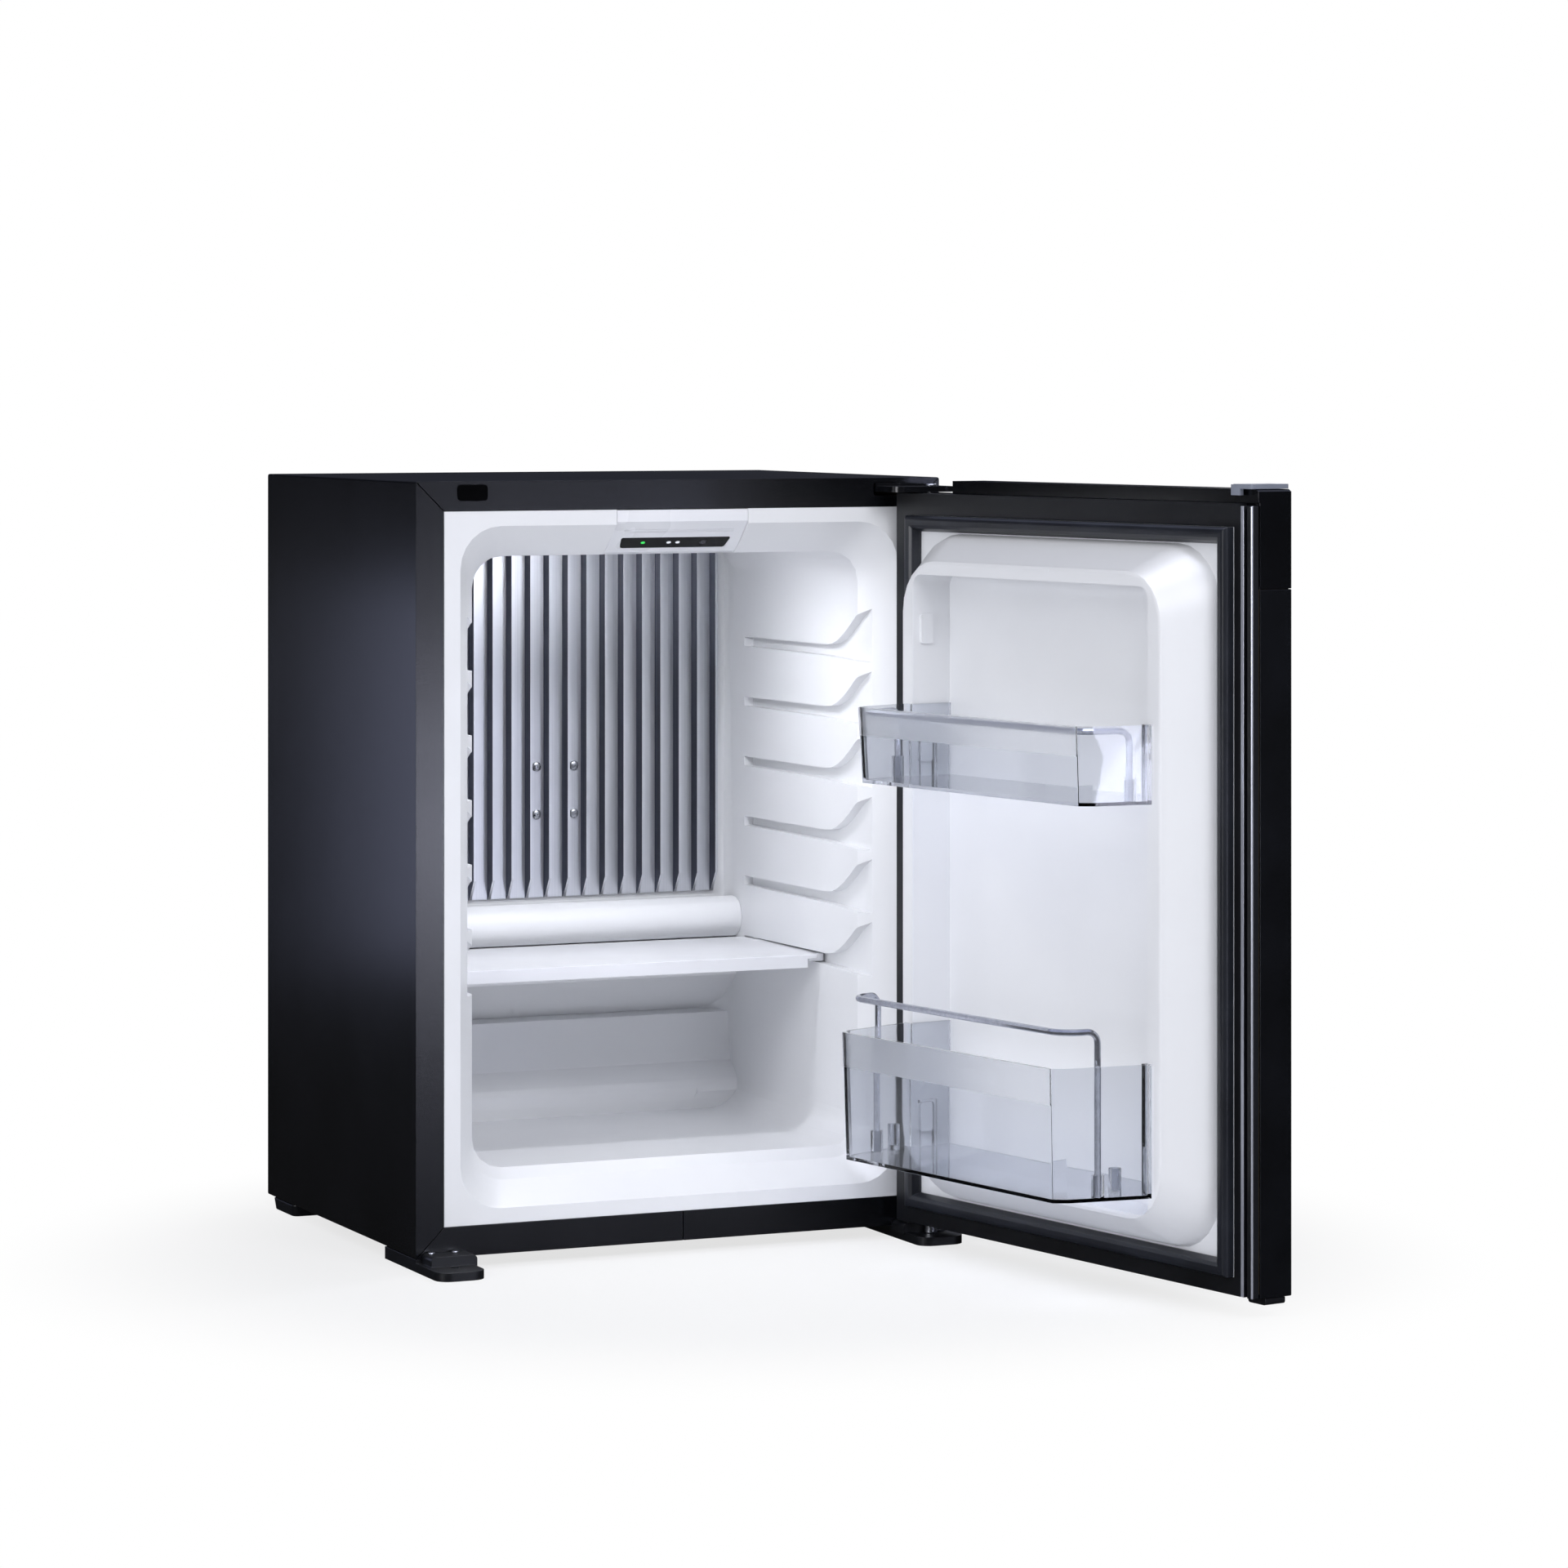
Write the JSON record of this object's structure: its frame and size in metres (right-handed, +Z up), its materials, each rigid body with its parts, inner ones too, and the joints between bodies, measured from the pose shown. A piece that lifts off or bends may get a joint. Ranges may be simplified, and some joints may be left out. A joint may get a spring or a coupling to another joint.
{
  "type": "absorption minibar refrigerator",
  "caption": "Black minibar fridge, door open: white liner with shelf guides, finned evaporator, shelf, clear door bins with wire rails, absorption cooling unit on the back",
  "frame": {"origin": "on the floor, under the middle of the whole object as pictured, with its door open", "axes": "+X to the right seen from the front, +Y from the front into the depth, +Z up"},
  "size_m": [0.4674, 0.7883, 0.5494],
  "materials": {
    "black_painted_steel": "fine textured satin",
    "grey_painted_steel": "satin",
    "white_liner_plastic": "satin",
    "foam": "matte",
    "white_shelf_plastic": "gloss",
    "satin_aluminium": "satin",
    "black_steel_tube": "matte",
    "zinc_steel": "satin",
    "black_plastic": "satin",
    "grey_plastic": "satin",
    "display_plastic": "gloss",
    "lens_plastic": "gloss",
    "button_plastic": "satin",
    "clear_plastic": "gloss, clear",
    "door_panel": "gloss",
    "gloss_black_plastic": "gloss",
    "edge_aluminium": "brushed",
    "seal_rubber": "satin",
    "chrome_wire": "polished"
  },
  "bodies": {
    "cabinet": {"outer_wrapper": "black_painted_steel", "cabinet_liner": "white_liner_plastic", "insulation_foam": "foam", "rear_panel": "grey_painted_steel", "evaporator_plate": "satin_aluminium", "evaporator_screw_1": "zinc_steel", "evaporator_screw_2": "zinc_steel", "evaporator_screw_3": "zinc_steel", "evaporator_screw_4": "zinc_steel", "evaporator_plug": "satin_aluminium", "evaporator_pipe": "black_steel_tube", "drip_gutter": "white_liner_plastic", "control_panel_housing": "white_liner_plastic", "display_window": "display_plastic", "status_lens": "lens_plastic", "level_lens_left": "lens_plastic", "level_lens_right": "lens_plastic", "slot_plug": "black_plastic", "top_hinge_plate": "black_painted_steel", "top_hinge_pin": "zinc_steel", "front_foot_right": "black_plastic", "front_foot_left": "black_plastic", "lower_hinge_pin": "zinc_steel", "foot_screw_1": "zinc_steel", "foot_screw_2": "zinc_steel", "foot_screw_3": "zinc_steel", "foot_screw_4": "zinc_steel", "rear_foot_left": "black_plastic", "rear_foot_right": "black_plastic", "condenser": "black_steel_tube", "absorber_coil": "black_steel_tube", "absorber_vessel": "black_steel_tube", "solution_pipe": "black_steel_tube", "boiler_jacket": "zinc_steel", "heater_cartridge": "zinc_steel", "vessel_strap": "zinc_steel", "boiler_strap": "zinc_steel", "electronics_box": "black_plastic", "mains_inlet": "black_plastic"},
    "shelf": {"shelf": "white_shelf_plastic"},
    "power_button": {"power_button": "button_plastic"},
    "door": {"door_front_panel": "door_panel", "door_handle_module": "gloss_black_plastic", "door_bottom_cap": "black_plastic", "lower_hinge_bush": "black_plastic", "upper_hinge_bush": "black_plastic", "door_rim_frame": "black_plastic", "door_edge_profile": "edge_aluminium", "door_liner": "white_liner_plastic", "door_foam": "foam", "door_gasket": "seal_rubber", "door_top_clip": "grey_plastic", "door_bottom_block": "black_plastic"},
    "upper_bin": {"upper_bin": "clear_plastic", "upper_bottle_rail": "chrome_wire"},
    "lower_bin": {"lower_bin": "clear_plastic", "lower_bottle_rail": "chrome_wire"}
  },
  "joints": [
    {"name": "door_hinge", "type": "hinge", "parent": "cabinet", "child": "door", "pos_m": [0.14926, -0.01467, 0.27], "axis": [0, 0, 1], "range_deg": [-100.2, 19.8]},
    {"name": "shelf_slide", "type": "slide", "parent": "cabinet", "child": "shelf", "axis": [0, -1, 0], "range_m": [0, 0.14]},
    {"name": "upper_bin_lift", "type": "slide", "parent": "door", "child": "upper_bin", "axis": [0, 0, 1], "range_m": [0, 0.03]},
    {"name": "lower_bin_lift", "type": "slide", "parent": "door", "child": "lower_bin", "axis": [0, 0, 1], "range_m": [0, 0.03]},
    {"name": "power_button_press", "type": "slide", "parent": "cabinet", "child": "power_button", "axis": [0, 0.6644, 0.7474], "range_m": [0, 0.0006], "stiffness_N_per_m": 150}
  ]
}
